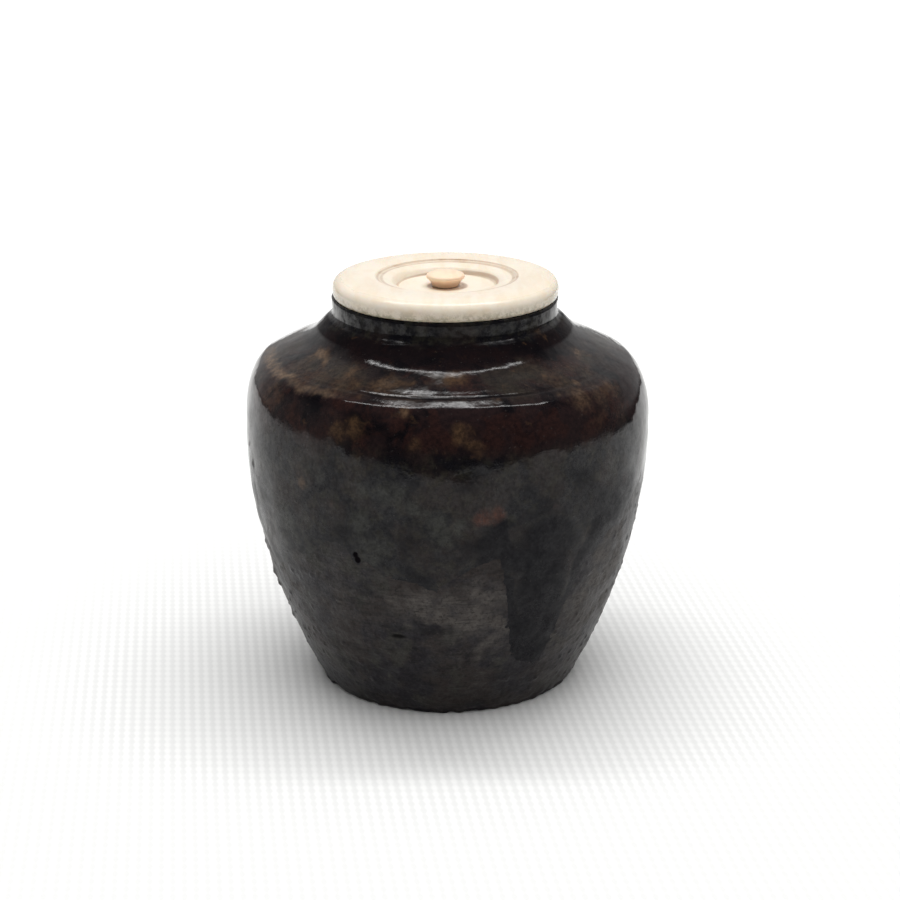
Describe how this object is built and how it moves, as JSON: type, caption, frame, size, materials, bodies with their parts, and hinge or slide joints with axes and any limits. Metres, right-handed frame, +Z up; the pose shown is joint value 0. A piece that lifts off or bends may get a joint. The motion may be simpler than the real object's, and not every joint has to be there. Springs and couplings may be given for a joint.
{
  "type": "tea caddy",
  "caption": "Small high-shouldered stoneware jar for powdered tea, with a short neck, a dark iron glaze that runs down the front, and a lift-off turned lid with a knob.",
  "frame": {"origin": "centre of the flat base, on the surface that the jar stands on", "axes": "+Z up along the jar's axis; -Y is the front, with the glaze run a little to the right of it"},
  "size_m": [0.076, 0.076, 0.0785],
  "materials": {
    "stoneware": "bare fired clay with a thin iron wash, rough",
    "iron_glaze": "glossy dark brown glaze with amber mottling",
    "ivory_disc": "polished, ivory-like, fine turned rings",
    "ivory_knob": "polished, ivory-like, warm tone",
    "gold_leaf": "gold leaf on paper, soft metallic sheen"
  },
  "bodies": {
    "jar": {"jar_foot": "stoneware", "jar_belly": "stoneware", "jar_shoulder": "stoneware", "iron_glaze_coat": "iron_glaze"},
    "lid": {"lid_disc": "ivory_disc", "lid_knob": "ivory_knob", "lid_gold_lining": "gold_leaf"}
  },
  "joints": [
    {"name": "lid_lift", "type": "slide", "parent": "jar", "child": "lid", "axis": [0, 0, 1], "range_m": [0, 0.03]}
  ]
}
